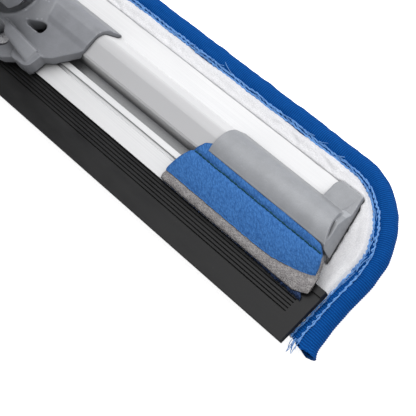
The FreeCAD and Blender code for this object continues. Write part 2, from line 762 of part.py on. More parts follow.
def build_swivel_hardware():
    """Washer under the fork and the threaded insert that the swivel bolt screws into."""
    insert_foot = dim.hub_floor + 1.1
    keep("swivel_insert", turned("Swivel_insert", [
        (4.02, insert_foot),
        (5.58, insert_foot),
        (5.58, insert_foot + 12.6),
        (4.02, insert_foot + 12.6),
    ], 0.0, dim.pivot_y))
    washer_foot = dim.hub_floor + 0.03
    keep("swivel_washer", turned("Swivel_washer", [
        (4.1, washer_foot),
        (7.0, washer_foot),
        (7.0, washer_foot + 0.95),
        (4.1, washer_foot + 0.95),
    ], 0.0, dim.pivot_y))


def build_hinge_hardware():
    """Pin with a shoulder head, its nut, and the friction discs beside the knuckle."""
    shank = rod("Hinge_shank", "x", (-dim.ear_outer + 0.2, dim.pivot_y, dim.hinge_z), 3.0,
                dim.ear_outer * 2 - 2.4)
    head = rod("Hinge_head", "x", (dim.ear_outer - 2.3, dim.pivot_y, dim.hinge_z), 5.2, 2.3)
    keep("hinge_pin", fuse("Hinge_pin", [shank, head]))
    nut = rod("Nut_blank", "x", (-dim.ear_outer, dim.pivot_y, dim.hinge_z), 5.2, 2.2)
    nut_hole = rod("Nut_hole", "x", (-dim.ear_outer - 1.0, dim.pivot_y, dim.hinge_z), 3.02, 5.0)
    keep("hinge_nut", cut("Hinge_nut", nut, nut_hole))
    discs = []
    for side, start in (("right", dim.ear_inner - 0.9), ("left", -dim.ear_inner + 0.1)):
        disc = rod("Disc_blank_" + side, "x", (start, dim.pivot_y, dim.hinge_z), 7.6, 0.8)
        hole = rod("Disc_hole_" + side, "x", (start - 1.0, dim.pivot_y, dim.hinge_z), 3.05, 3.0)
        discs.append(cut("Disc_" + side, disc, hole))
    keep("friction_discs", group("Friction_discs", discs))


# ---------------------------------------------------------------------------------------
# Handle
# ---------------------------------------------------------------------------------------
def build_handle():
    """Moulded core with a knuckle and a bore for a pole, rubber grip and end ring."""
    neck_low = dim.hinge_z + dim.ear_radius + 0.5
    knuckle_half = dim.ear_inner - 1.0
    core = turned("Handle_turned", [
        (0.0, neck_low),
        (7.8, neck_low),
        (dim.neck_radius, neck_low + 2.8),
        (dim.neck_radius, 72.0),
        (14.6, 80.0),
        (14.6, dim.handle_top - 14.0),
        (16.6, dim.handle_top - 11.0),
        (16.6, dim.handle_top - 0.6),
        (16.0, dim.handle_top),
        (dim.pole_radius, dim.handle_top),
        (dim.pole_radius, dim.handle_top - dim.pole_depth),
        (0.0, dim.handle_top - dim.pole_depth - 7.0),
    ], 0.0, dim.pivot_y)
    knuckle = rod("Knuckle", "x", (-knuckle_half, dim.pivot_y, dim.hinge_z), 8.4, knuckle_half * 2)
    neck = block("Knuckle_neck", (-knuckle_half, dim.pivot_y - 6.4, dim.hinge_z),
                 (knuckle_half, dim.pivot_y + 6.4, neck_low + 1.0))
    solid = fuse("Handle_solid", [core, knuckle, neck])
    hole = rod("Knuckle_hole", "x", (-20.0, dim.pivot_y, dim.hinge_z), 3.05, 40.0)
    keep("handle_core", cut("Handle_core", solid, hole))
    grip_low = 82.0
    grip_high = dim.handle_top - 15.0
    wave = [(14.65, grip_high), (14.65, grip_low), (16.6, grip_low)]
    rings = 9
    pitch = (grip_high - grip_low) * (1.0 / rings)
    for number in range(rings):
        low = pitch * number + grip_low
        wave.append((17.6, low + 1.6))
        wave.append((17.6, low + pitch.value - 1.6))
        if number < rings - 1:
            wave.append((16.8, low + pitch.value))
    wave.append((16.6, grip_high))
    keep("handle_grip", turned("Handle_grip", wave, 0.0, dim.pivot_y))


def build_lock_collar():
    """Sleeve that slides down the neck; its two prongs enter the notches of the ears."""
    foot = dim.hinge_z + dim.ear_radius + 3.6
    ring = turned("Collar_ring", [
        (dim.neck_radius + 0.08, foot),
        (15.0, foot),
        (15.6, foot + 0.8),
        (15.6, foot + 3.0),
        (14.9, foot + 4.4),
        (14.9, foot + 8.0),
        (15.8, foot + 9.4),
        (dim.neck_radius + 0.08, foot + 9.4),
    ], 0.0, dim.pivot_y)
    pieces = [ring]
    for side, start in (("right", dim.neck_radius + 0.15), ("left", -dim.neck_radius - 2.35)):
        pieces.append(block("Prong_" + side, (start, dim.pivot_y - PRONG_HALF, foot - 3.0),
                            (start + 2.2, dim.pivot_y + PRONG_HALF, foot + 1.0)))
    keep("lock_collar", fuse("Lock_collar", pieces))


def finish():
    """Recomputes, refuses anything broken and writes one STEP file per sub-part."""
    doc.recompute()
    for item in doc.Objects:
        if "Invalid" in item.State or "Error" in item.State:
            raise RuntimeError("%s is %s" % (item.Label, item.State))
    for label, piece in nodes.items():
        if piece.Shape.isNull() or not piece.Shape.isValid():
            raise RuntimeError("%s has no valid shape" % label)
        piece.Shape.exportStep("parts/%s.step" % label)
        print("%-20s solids %d volume %.0f" % (label, len(piece.Shape.Solids), piece.Shape.Volume))


build_profile()
build_rubber()
build_end_caps()
build_wipes()
build_pad()
build_bracket()
build_bracket_fasteners()
build_fork()
build_swivel_hardware()
build_hinge_hardware()
build_handle()
build_lock_collar()
finish()
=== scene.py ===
"""Looks of the two-in-one window squeegee head: fleece, binding, stitching, end wipes and finishes.

Geometry is written in millimetres in the row frame and turned into metres when a mesh is made.
"""
import math
import random

import bpy
import numpy as np
from mathutils import Matrix, Vector, noise


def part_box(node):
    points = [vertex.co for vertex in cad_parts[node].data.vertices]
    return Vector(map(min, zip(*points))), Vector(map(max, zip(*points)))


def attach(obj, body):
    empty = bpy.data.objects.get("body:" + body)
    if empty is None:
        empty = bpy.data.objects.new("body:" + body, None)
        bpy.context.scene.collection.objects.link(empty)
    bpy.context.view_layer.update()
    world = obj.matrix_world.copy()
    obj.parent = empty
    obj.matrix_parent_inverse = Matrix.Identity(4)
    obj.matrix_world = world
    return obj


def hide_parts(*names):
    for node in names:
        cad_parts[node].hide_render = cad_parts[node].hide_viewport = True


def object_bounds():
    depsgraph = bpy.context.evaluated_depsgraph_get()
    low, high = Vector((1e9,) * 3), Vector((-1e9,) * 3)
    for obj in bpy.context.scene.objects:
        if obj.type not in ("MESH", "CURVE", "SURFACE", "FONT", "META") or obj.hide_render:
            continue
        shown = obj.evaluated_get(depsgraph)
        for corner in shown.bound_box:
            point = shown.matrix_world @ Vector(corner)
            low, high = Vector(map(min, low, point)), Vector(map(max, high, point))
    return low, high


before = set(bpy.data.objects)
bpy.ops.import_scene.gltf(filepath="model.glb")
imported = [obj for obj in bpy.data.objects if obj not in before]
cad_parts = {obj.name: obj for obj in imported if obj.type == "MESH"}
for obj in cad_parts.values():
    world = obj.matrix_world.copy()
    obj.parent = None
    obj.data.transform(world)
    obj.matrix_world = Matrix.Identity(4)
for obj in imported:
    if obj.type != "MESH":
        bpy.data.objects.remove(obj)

MM = 0.001
RIB_ATTRIBUTE = "rib"
HEAD = "head"
TIP_SHARE = 0.4
scene = bpy.context.scene
cad_low, cad_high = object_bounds()
dice = random.Random(7)


def span(node):
    """Lowest and highest corner of a CAD node, in millimetres."""
    low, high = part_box(node)
    return low / MM, high / MM


BIND_LOW, BIND_HIGH = span("edge_binding")
FLEECE_LOW, FLEECE_HIGH = span("pad_fleece")
RUBBER_LOW, RUBBER_HIGH = span("squeegee_rubber")
BAR_LOW, BAR_HIGH = span("head_profile")
CAP_LOW, CAP_HIGH = span("end_cap_right")


# ---------------------------------------------------------------------------------------
# Small mathematics
# ---------------------------------------------------------------------------------------
def mix(a, b, share):
    """Straight blend from a at share 0 to b at share 1."""
    return a + (b - a) * share


def ramp(value, start, stop):
    """Smooth step from 0 at start to 1 at stop."""
    share = min(1.0, max(0.0, (value - start) / (stop - start)))
    return share * share * (3.0 - 2.0 * share)


def ripple(x, y, size, seed=0.0):
    """Smooth noise between about -1 and 1 whose lumps are size across."""
    return noise.noise(Vector((x / size, y / size, seed)))


# ---------------------------------------------------------------------------------------
# Mesh building
# ---------------------------------------------------------------------------------------
class Soup:
    """Points and faces of one mesh, gathered bit by bit, in millimetres."""

    def __init__(self):
        self.points = []
        self.faces = []

    def grid(self, rows, ring=False):
        """Adds rows of points joined by quads; ring closes each row on itself."""
        start = len(self.points)
        count = len(rows[0])
        for row in rows:
            self.points.extend(row)
        for r in range(len(rows) - 1):
            for c in range(count if ring else count - 1):
                a = start + r * count + c
                b = start + r * count + (c + 1) % count
                self.faces.append((a, b, b + count, a + count))
        return start

    def tube(self, path, radius, sides=5):
        """Adds a closed tube round a path, tapered to a blunt tip at both ends."""
        rows = []
        side = Vector((0.0, 0.0, 1.0))
        last = len(path) - 1
        for index, point in enumerate(path):
            ahead = path[min(index + 1, last)] - path[max(index - 1, 0)]
            across = ahead.cross(side)
            if across.length < 1e-6:
                across = ahead.orthogonal()
            across.normalize()
            up = across.cross(ahead).normalized()
            wide = radius * (TIP_SHARE if index in (0, last) else 1.0)
            rows.append([point + (across * math.cos(a) + up * math.sin(a)) * wide
                         for a in (2.0 * math.pi * k / sides for k in range(sides))])
        start = self.grid(rows, ring=True)
        end = start + last * sides
        self.faces.append(tuple(range(start + sides - 1, start - 1, -1)))
        self.faces.append(tuple(range(end, end + sides)))

    def mirrored(self):
        """The same mesh at the other end of the head."""
        other = Soup()
        other.points = [Vector((-p[0], p[1], p[2])) for p in self.points]
        other.faces = [tuple(reversed(face)) for face in self.faces]
        return other

    def piece(self, name, material, slot, body=HEAD):
        """Makes the mesh object and lets it ride on a body."""
        mesh = bpy.data.meshes.new(name)
        mesh.from_pydata([Vector(p) * MM for p in self.points], [], self.faces)
        mesh.validate()
        mesh.polygons.foreach_set("use_smooth", [True] * len(mesh.polygons))
        mesh.materials.append(material)
        made = bpy.data.objects.new(name, mesh)
        scene.collection.objects.link(made)
        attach(made, body)
        return made


# ---------------------------------------------------------------------------------------
# Materials
# ---------------------------------------------------------------------------------------
class Finish:
    """A principled material with helpers for its procedural nodes."""

    def __init__(self, name, roughness, metallic=0.0, specular=0.5):
        self.material = bpy.data.materials.new(name)
        self.material.use_nodes = True
        self.tree = self.material.node_tree
        self.shader = self.tree.nodes["Principled BSDF"]
        self.shader.inputs["Roughness"].default_value = roughness
        self.shader.inputs["Metallic"].default_value = metallic
        self.shader.inputs["Specular IOR Level"].default_value = specular
        self.place = self.tree.nodes.new("ShaderNodeTexCoord").outputs["Object"]
        self.normal = None

    def node(self, kind, **inputs):
        """Adds a node; each input takes a value or another node's output."""
        made = self.tree.nodes.new(kind)
        for key, value in inputs.items():
            socket = made.inputs[key.replace("_", " ")]
            if isinstance(value, bpy.types.NodeSocket):
                self.tree.links.new(value, socket)
            else:
                socket.default_value = value
        return made

    def feed(self, socket_name, source):
        """Links an output to one of the shader's inputs."""
        self.tree.links.new(source, self.shader.inputs[socket_name])

    def stretched(self, stretch):
        """Object coordinates in millimetres, divided by a stretch along each axis."""
        scale = tuple(1.0 / (MM * s) for s in stretch)
        return self.node("ShaderNodeMapping", Vector=self.place, Scale=scale).outputs["Vector"]

    def grain(self, size, stretch=(1, 1, 1), detail=2.0, rough=0.55):
        """Noise whose lumps are size millimetres across."""
        made = self.node("ShaderNodeTexNoise", Vector=self.stretched(stretch),
                         Scale=1.0 / size, Detail=detail, Roughness=rough)
        return made.outputs["Fac"]

    def cells(self, size, stretch=(1, 1, 1)):
        """Distance to the nearest of scattered points, size millimetres apart."""
        made = self.node("ShaderNodeTexVoronoi", Vector=self.stretched(stretch), Scale=1.0 / size)
        return made.outputs["Distance"]

    def remap(self, source, low, high, out_low=0.0, out_high=1.0):
        """Maps the range low to high onto out_low to out_high."""
        made = self.node("ShaderNodeMapRange", Value=source)
        made.inputs["From Min"].default_value = low
        made.inputs["From Max"].default_value = high
        made.inputs["To Min"].default_value = out_low
        made.inputs["To Max"].default_value = out_high
        return made.outputs["Result"]

    def blend(self, share, first, second):
        """Colour mix: first where share is 0, second where it is 1."""
        made = self.tree.nodes.new("ShaderNodeMix")
        made.data_type = "RGBA"
        if isinstance(share, bpy.types.NodeSocket):
            self.tree.links.new(share, made.inputs["Factor"])
        else:
            made.inputs["Factor"].default_value = share
        for socket, value in zip((made.inputs[6], made.inputs[7]), (first, second)):
            if isinstance(value, bpy.types.NodeSocket):
                self.tree.links.new(value, socket)
            else:
                socket.default_value = (*value, 1.0)
        return made.outputs[2]

    def crevice(self, reach, closed=0.2, clear=0.9):
        """Mask for painted shade: 0 in gaps narrower than reach millimetres, 1 in the open."""
        made = self.node("ShaderNodeAmbientOcclusion", Distance=reach * MM)
        made.samples = 8
        return self.remap(made.outputs["AO"], closed, clear)

    def soften(self, radius):
        """Rounds the look of sharp edges by radius millimetres."""
        made = self.node("ShaderNodeBevel", Radius=radius * MM)
        made.samples = 6
        self.normal = made.outputs["Normal"]

    def bump(self, height, depth, strength=1.0):
        """Adds relief depth millimetres deep on top of earlier relief."""
        made = self.node("ShaderNodeBump", Height=height, Strength=strength)
        made.inputs["Distance"].default_value = depth * MM
        if self.normal is not None:
            self.tree.links.new(self.normal, made.inputs["Normal"])
        self.normal = made.outputs["Normal"]

    def done(self):
        """Links the gathered relief and hands over the material."""
        if self.normal is not None:
            self.feed("Normal", self.normal)
        return self.material


def moulded_plastic(name, colour, roughness, grain_depth=0.02, edge_highlight=0.0):
    """Moulded thermoplastic: fine eroded grain, flow mottling, painted shade in corners and gaps, painted
    highlight along sharp edges.
    """
    finish = Finish(name, roughness, specular=0.35)
    mottle = finish.remap(finish.grain(7.0, detail=4.0), 0.3, 0.7)
    base = finish.blend(mottle, tuple(c * 0.90 for c in colour), tuple(c * 1.08 for c in colour))
    speckle = finish.remap(finish.grain(0.5, detail=2.0), 0.35, 0.65, 0.0, 0.35)
    base = finish.blend(speckle, base, tuple(c * 0.82 for c in colour))
    scuffs = finish.remap(finish.grain(1.1, stretch=(6, 1, 1), detail=4.0), 0.64, 0.8, 0.0, 0.8)
    base = finish.blend(scuffs, base, tuple(min(1.0, c * 1.22) for c in colour))
    # Painted highlight: sharp edges, found by pointiness, are lightened to stand in for light catching
    # them.
    if edge_highlight:
        pointed = finish.tree.nodes.new("ShaderNodeNewGeometry").outputs["Pointiness"]
        edges = finish.remap(pointed, 0.52, 0.57, 0.0, edge_highlight)
        base = finish.blend(edges, base, tuple(min(1.0, c * 1.7) for c in colour))
    # Painted shade: the colour is halved in gaps and corners that light does not reach.
    open_share = finish.crevice(7.0, 0.15, 0.85)
    finish.feed("Base Color", finish.blend(open_share, tuple(c * 0.5 for c in colour), base))
    finish.feed("Roughness", finish.remap(finish.grain(2.5, detail=3.0), 0.2, 0.8,
                                          roughness - 0.06, roughness + 0.10))
    finish.soften(0.45)
    finish.bump(finish.grain(0.35, detail=2.0), grain_depth)
    return finish.done()


def drawn_aluminium():
    """Satin anodised extrusion with fine die lines along its length, painted shade on top of the spine and
    in its slots.
    """
    finish = Finish("anodised_aluminium", 0.5, metallic=0.12, specular=0.35)
    lines = finish.grain(0.30, stretch=(260, 1, 1), detail=3.0)
    clouds = finish.grain(14.0, stretch=(5, 1, 1), detail=2.0)
    tone = finish.blend(finish.remap(lines, 0.3, 0.7), (0.60, 0.60, 0.61), (0.69, 0.69, 0.695))
    tone = finish.blend(finish.remap(clouds, 0.35, 0.65, 0.0, 0.4), tone, (0.57, 0.575, 0.59))
    height = finish.node("ShaderNodeSeparateXYZ", Vector=finish.place).outputs["Z"]
    facing = finish.tree.nodes.new("ShaderNodeNewGeometry").outputs["Normal"]
    upward = finish.node("ShaderNodeSeparateXYZ", Vector=facing).outputs["Z"]
    # Painted reflection: upward faces above 4 to 8 mm, the top of the spine, are darkened to stand in for a
    # dim reflection of the room.
    shaded_spine_top = finish.blend(finish.remap(height, 4.0 * MM, 8.0 * MM), tone, (0.41, 0.41, 0.42))
    tone = finish.blend(finish.remap(upward, 0.55, 0.95), tone, shaded_spine_top)
    # Painted shade: slots and grooves are darkened almost to black where light does not reach them.
    open_share = finish.crevice(9.0, 0.18, 0.70)
    finish.feed("Base Color", finish.blend(open_share, (0.075, 0.078, 0.084), tone))
    finish.feed("Roughness", finish.remap(lines, 0.25, 0.75, 0.44, 0.58))
    finish.soften(0.18)
    finish.bump(lines, 0.004)
    return finish.done()


def black_rubber():
    """Natural rubber: soft black with a faint bloom and a few specks of dust."""
    finish = Finish("black_rubber", 0.5, specular=0.22)
    bloom = finish.remap(finish.grain(7.0, stretch=(4, 1, 1), detail=4.0), 0.35, 0.7)
    base = finish.blend(bloom, (0.0070, 0.0070, 0.0075), (0.0140, 0.0140, 0.0145))
    specks = finish.remap(finish.cells(5.5), 0.035, 0.02, 0.0, 0.5)
    finish.feed("Base Color", finish.blend(specks, base, (0.12, 0.12, 0.12)))
    finish.feed("Roughness", finish.remap(bloom, 0.0, 1.0, 0.42, 0.55))
    finish.soften(0.15)
    finish.bump(finish.grain(0.4, stretch=(2, 1, 1), detail=3.0), 0.010)
    return finish.done()


def metal(name, colour, roughness):
    """Turned or plated metal with fine turning marks."""
    finish = Finish(name, roughness, metallic=1.0)
    marks = finish.grain(0.25, stretch=(1, 1, 0.3), detail=3.0)
    finish.feed("Base Color", finish.blend(marks, tuple(c * 0.8 for c in colour), colour))
    finish.feed("Roughness", finish.remap(marks, 0.2, 0.8, roughness - 0.08, roughness + 0.12))
    finish.soften(0.2)
    finish.bump(marks, 0.01)
    return finish.done()


def pile_cloth(name, dark, light, lump, depth):
    """Brushed microfibre: fine tangled pile with a soft sheen."""
    finish = Finish(name, 0.95, specular=0.1)
    tangle = finish.grain(lump, detail=4.0, rough=0.7)
    patches = finish.grain(lump * 9.0, detail=2.0)
    base = finish.blend(finish.remap(tangle, 0.3, 0.65), dark, light)
    finish.feed("Base Color", finish.blend(finish.remap(patches, 0.3, 0.7, 0.0, 0.35), base, dark))
    finish.shader.inputs["Sheen Weight"].default_value = 0.35
    finish.shader.inputs["Sheen Roughness"].default_value = 0.5
    finish.shader.inputs["Sheen Tint"].default_value = (*light, 1.0)
    finish.bump(tangle, depth)
    return finish.done()


def ribbed_tape():
    """Grosgrain tape: the ribs are in the mesh; the yarn in them and painted shade in the valleys between
    them are here.
    """
    finish = Finish("blue_binding", 0.8, specular=0.08)
    yarn = finish.grain(0.3, detail=3.0)
    patches = finish.grain(5.0, detail=2.0)
    base = finish.blend(finish.remap(yarn, 0.3, 0.7), (0.000, 0.052, 0.225), (0.003, 0.094, 0.360))
    base = finish.blend(finish.remap(patches, 0.35, 0.7, 0.0, 0.4), base, (0.001, 0.050, 0.225))
    # Painted shade: the tape is darkened where the rib attribute is low, in the valleys between ribs.
    crown = finish.tree.nodes.new("ShaderNodeAttribute")
    crown.attribute_name = RIB_ATTRIBUTE
    ridge = finish.remap(crown.outputs["Fac"], -0.6, 0.7)
    finish.feed("Base Color", finish.blend(ridge, (0.000, 0.040, 0.185), base))
    finish.bump(yarn, 0.08)
    return finish.done()


def thread(name, dark, light):
    """Twisted sewing thread."""
    finish = Finish(name, 0.7, specular=0.25)
    ply = finish.grain(0.35, detail=2.0)
    finish.feed("Base Color", finish.blend(finish.remap(ply, 0.3, 0.7), dark, light))
    finish.bump(ply, 0.05)
    return finish.done()


def foam_material():
    """Open cell foam: pale struts with painted shade in the pores between them, discoloured in patches."""
    finish = Finish("grey_foam", 0.95, specular=0.08)
    pores = finish.cells(0.75)
    coarse = finish.grain(2.2, detail=4.0)
    # Painted shade: the pores, hollows in the foam, get the dark colour.
    base = finish.blend(finish.remap(pores, 0.12, 0.55), (0.13, 0.124, 0.127), (0.31, 0.298, 0.296))
    base = finish.blend(finish.remap(coarse, 0.35, 0.62, 0.0, 0.75), base, (0.175, 0.165, 0.168))
    finish.feed("Base Color", base)
    finish.bump(pores, 0.35)
    finish.bump(coarse, 0.3)
    return finish.done()


def knit_material():
    """Brushed knit: tufts that lean diagonally, paler at their tips, with painted shade in narrow gaps."""
    finish = Finish("blue_knit_cloth", 0.92, specular=0.12)
    turned = finish.node("ShaderNodeMapping", Vector=finish.stretched((1, 1, 1)),
                         Rotation=(0.0, 0.0, math.radians(38.0)))
    tufts = finish.node("ShaderNodeTexVoronoi", Vector=turned.outputs["Vector"], Scale=1.0)
    leaning = finish.node("ShaderNodeMapping", Vector=turned.outputs["Vector"], Scale=(0.55, 1.35, 1.0))
    finish.tree.links.new(leaning.outputs["Vector"], tufts.inputs["Vector"])
    loops = tufts.outputs["Distance"]
    fuzz = finish.grain(0.5, detail=4.0)
    base = finish.blend(finish.remap(loops, 0.15, 0.75), (0.042, 0.150, 0.400), (0.017, 0.078, 0.250))
    base = finish.blend(finish.remap(fuzz, 0.35, 0.7, 0.0, 0.55), base, (0.066, 0.195, 0.470))
    # Painted shade: the cloth is darkened in narrow gaps such as along the seam.
    open_share = finish.crevice(2.2, 0.25, 0.85)
    finish.feed("Base Color", finish.blend(open_share, (0.008, 0.040, 0.140), base))
    finish.shader.inputs["Sheen Weight"].default_value = 0.15
    finish.shader.inputs["Sheen Tint"].default_value = (0.2, 0.45, 0.9, 1.0)
    finish.bump(loops, 0.26)
    finish.bump(fuzz, 0.14)
    return finish.done()


STEEL = metal("steel", (0.62, 0.62, 0.64), 0.28)
BRASS = metal("brass", (0.72, 0.52, 0.22), 0.3)
ALUMINIUM = drawn_aluminium()
RUBBER = black_rubber()
CAP_PLASTIC = moulded_plastic("grey_cap_plastic", (0.300, 0.310, 0.325), 0.42)
EDGE_LIT_CAP_PLASTIC = moulded_plastic("grey_cap_plastic_edge_lit", (0.258, 0.266, 0.283), 0.42, edge_highlight=0.4)
BRACKET_PLASTIC = moulded_plastic("grey_bracket_plastic", (0.204, 0.210, 0.228), 0.36, edge_highlight=0.45)
BLACK_PLASTIC = moulded_plastic("black_plastic", (0.03, 0.03, 0.034), 0.45)
GRIP_RUBBER = moulded_plastic("blue_grip_rubber", (0.006, 0.060, 0.230), 0.6, 0.05)
FLEECE = pile_cloth("white_fleece", (0.56, 0.56, 0.58), (0.78, 0.78, 0.80), 0.55, 0.45)
LOOP_CLOTH = pile_cloth("loop_cloth", (0.55, 0.55, 0.57), (0.75, 0.75, 0.77), 0.8, 0.2)
HOOKS = pile_cloth("hook_tape", (0.02, 0.02, 0.02), (0.06, 0.06, 0.06), 0.7, 0.3)
BACKING = pile_cloth("blue_backing_cloth", (0.012, 0.025, 0.070), (0.050, 0.085, 0.190), 0.7, 0.3)
TAPE = ribbed_tape()
BLUE_THREAD = thread("blue_thread", (0.055, 0.170, 0.450), (0.180, 0.385, 0.720))
GREEN_THREAD = thread("green_thread", (0.000, 0.030, 0.045), (0.004, 0.065, 0.080))
FOAM = foam_material()
KNIT = knit_material()

CAD_FINISH = {
    "head_profile": ALUMINIUM,
    "squeegee_rubber": RUBBER,
    "bracket_screws": STEEL,
    "swivel_bolt": STEEL,
    "swivel_insert": BRASS,
    "swivel_washer": STEEL,
    "hinge_pin": STEEL,
    "hinge_nut": STEEL,
    "friction_discs": BLACK_PLASTIC,
    "handle_core": CAP_PLASTIC,
    "handle_grip": GRIP_RUBBER,
    "lock_collar": BLACK_PLASTIC,
}


def dress_cad_nodes():
    """Gives each CAD node that stays in view its own material."""
    for name, material in CAD_FINISH.items():
        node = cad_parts[name]
        for place in node.material_slots:
            place.link = "OBJECT"
            place.material = material


def moulded(node, body, material, cell, passes):
    """Stands in for a moulded CAD part: the same shape with every edge and corner rounded."""
    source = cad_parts[node]
    mesh = bpy.data.meshes.new_from_object(source.evaluated_get(bpy.context.evaluated_depsgraph_get()))
    mesh.transform(source.matrix_world)
    made = bpy.data.objects.new(node + "_moulded", mesh)
    scene.collection.objects.link(made)
    remesh = made.modifiers.new("remesh", "REMESH")
    remesh.mode = "VOXEL"
    remesh.voxel_size = cell * MM
    rounding = made.modifiers.new("rounding", "SMOOTH")
    rounding.factor = 0.5
    rounding.iterations = passes
    finished = bpy.data.meshes.new_from_object(made.evaluated_get(bpy.context.evaluated_depsgraph_get()))
    made.modifiers.clear()
    made.data = finished
    finished.polygons.foreach_set("use_smooth", [True] * len(finished.polygons))
    finished.materials.clear()
    finished.materials.append(material)
    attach(made, body)
    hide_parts(node)


def build_mouldings():
    """Rounded stand-ins for the moulded plastic parts."""
    moulded("centre_bracket", HEAD, BRACKET_PLASTIC, 0.36, 6)
    moulded("swivel_fork", "fork", BRACKET_PLASTIC, 0.34, 3)
    for side in ("right", "left"):
        moulded("end_cap_" + side, HEAD, EDGE_LIT_CAP_PLASTIC, 0.30, 3)


# ---------------------------------------------------------------------------------------
# Washing pad
# ---------------------------------------------------------------------------------------
CORNER = 46.0
TAPE_WIDTH = 10.4
TAPE_ROUND = 4.2
TAPE_THICK = 0.7
TAPE_SLOPE = 0.9
TAPE_MIDDLE = (BIND_LOW.z + BIND_HIGH.z) / 2.0
TOP_POINTS = 9
SEAM_INSET = TAPE_WIDTH - 0.9
RIB_PITCH = 1.08
RIB_HEIGHT = 0.14
SIDE = BIND_HIGH.x
BACK = BIND_HIGH.y
FRONT = BIND_LOW.y
CAP_FLANGE_FRONT = 216.6
CAP_FLANGE_REAR = 208.6
TAB_INNER = 193.6
STRAIGHT_SIDE = BACK - CORNER - FRONT
ARC = CORNER * math.pi / 2.0
STRAIGHT_BACK = 2.0 * (SIDE - CORNER)
EDGE_LENGTH = 2.0 * STRAIGHT_SIDE + 2.0 * ARC + STRAIGHT_BACK


def edge_frame(along):
    """Point on the pad's outer edge and the outward direction there, from the right cut end."""
    mirrored = along > EDGE_LENGTH / 2.0
    place = EDGE_LENGTH - along if mirrored else along
    if place < STRAIGHT_SIDE:
        point = Vector((SIDE, FRONT + place, 0.0))
        outward = Vector((1.0, 0.0, 0.0))
    elif place < STRAIGHT_SIDE + ARC:
        angle = (place - STRAIGHT_SIDE) / CORNER
        outward = Vector((math.cos(angle), math.sin(angle), 0.0))
        point = Vector((SIDE - CORNER, BACK - CORNER, 0.0)) + outward * CORNER
    else:
        point = Vector((SIDE - CORNER - (place - STRAIGHT_SIDE - ARC), BACK, 0.0))
        outward = Vector((0.0, 1.0, 0.0))
    if mirrored:
        point.x = -point.x
        outward.x = -outward.x
    return point, outward


def cut_end_share(along, reach):
    """1 at either cut end of the tape, fading out over reach."""
    return math.exp(-min(along, EDGE_LENGTH - along) / reach)


def end_flare(along):
    """Outward shift and widening of the tape where its cut ends splay."""
    return 4.4 * cut_end_share(along, 7.0), 1.0 + 0.40 * cut_end_share(along, 9.0)


def tape_slope(inward):
    """Height of the tape's upper ply, which falls a little towards its inner edge."""
    share = max(0.0, (inward - TAPE_ROUND) / (TAPE_WIDTH - TAPE_ROUND))
    return BIND_HIGH.z - TAPE_SLOPE * share ** 1.6


def tape_section():
    """Folded tape in (inward, height, ribbed): over the top, round the edge, back underneath."""
    half = (BIND_HIGH.z - BIND_LOW.z) / 2.0
    bottom = TAPE_MIDDLE - half
    top = TAPE_MIDDLE + half
    tucked = TAPE_WIDTH - 0.8
    outer = [(w, tape_slope(w), 1.0) for w in np.linspace(TAPE_WIDTH, TAPE_ROUND, TOP_POINTS)]
    for turn in np.linspace(80.0, -90.0, 13):
        angle = math.radians(turn)
        outer.append((TAPE_ROUND - TAPE_ROUND * math.cos(angle), TAPE_MIDDLE + half * math.sin(angle), 1.0))
    outer += [(w, bottom + 0.08 * (w - TAPE_ROUND), 1.0) for w in (6.2, 8.2, tucked)]
    inner = [(tucked, bottom + 0.4 + TAPE_THICK, 0.0), (TAPE_ROUND, bottom + TAPE_THICK, 0.0)]
    for turn in (-45.0, 0.0, 45.0):
        angle = math.radians(turn)
        inner.append((TAPE_ROUND - (TAPE_ROUND - TAPE_THICK) * math.cos(angle),
                      TAPE_MIDDLE + (half - TAPE_THICK) * math.sin(angle), 0.0))
    inner += [(TAPE_ROUND, top - TAPE_THICK, 0.0), (TAPE_WIDTH, top - TAPE_SLOPE - TAPE_THICK, 0.0)]
    return outer + inner


def row_gap(along):
    """Distance between the two rows of stitching: close at the back, apart at the ends."""
    place = min(along, EDGE_LENGTH - along)
    return mix(3.4, 1.3, ramp(place, STRAIGHT_SIDE * 0.8, STRAIGHT_SIDE + ARC))


def tape_top(along, inward):
    """Height of the tape's top face at a distance inward from the edge."""
    groove = 0.0
    for row in (TAPE_WIDTH - 1.0, TAPE_WIDTH - 1.0 - row_gap(along)):
        groove += 0.55 * math.exp(-((inward - row) / 0.7) ** 2)
    return tape_slope(inward) - groove


def edge_sway(along):
    """How far the sewn edge wanders outward from its nominal line."""
    return 0.45 * ripple(along, 0.0, 26.0, 3.0) + 0.30 * ripple(along, 0.0, 8.0, 4.0)


def rib_direction(place, inward, height, outward):
    """Way in which the ribs stand out of the tape, at a point of its section."""
    if place < TOP_POINTS:
        return Vector((0.0, 0.0, 1.0))
    angle = math.atan2(height - TAPE_MIDDLE, TAPE_ROUND - inward)
    return outward * math.cos(angle) + Vector((0.0, 0.0, math.sin(angle)))


def cut_slant(inward, height):
    """How far the raw end of the tape runs beyond a straight cut."""
    wave = 0.9 * math.cos((inward / TAPE_WIDTH - 0.45) * 5.0)
    return wave + 1.3 * ripple(inward, height, 1.1, 30.0)


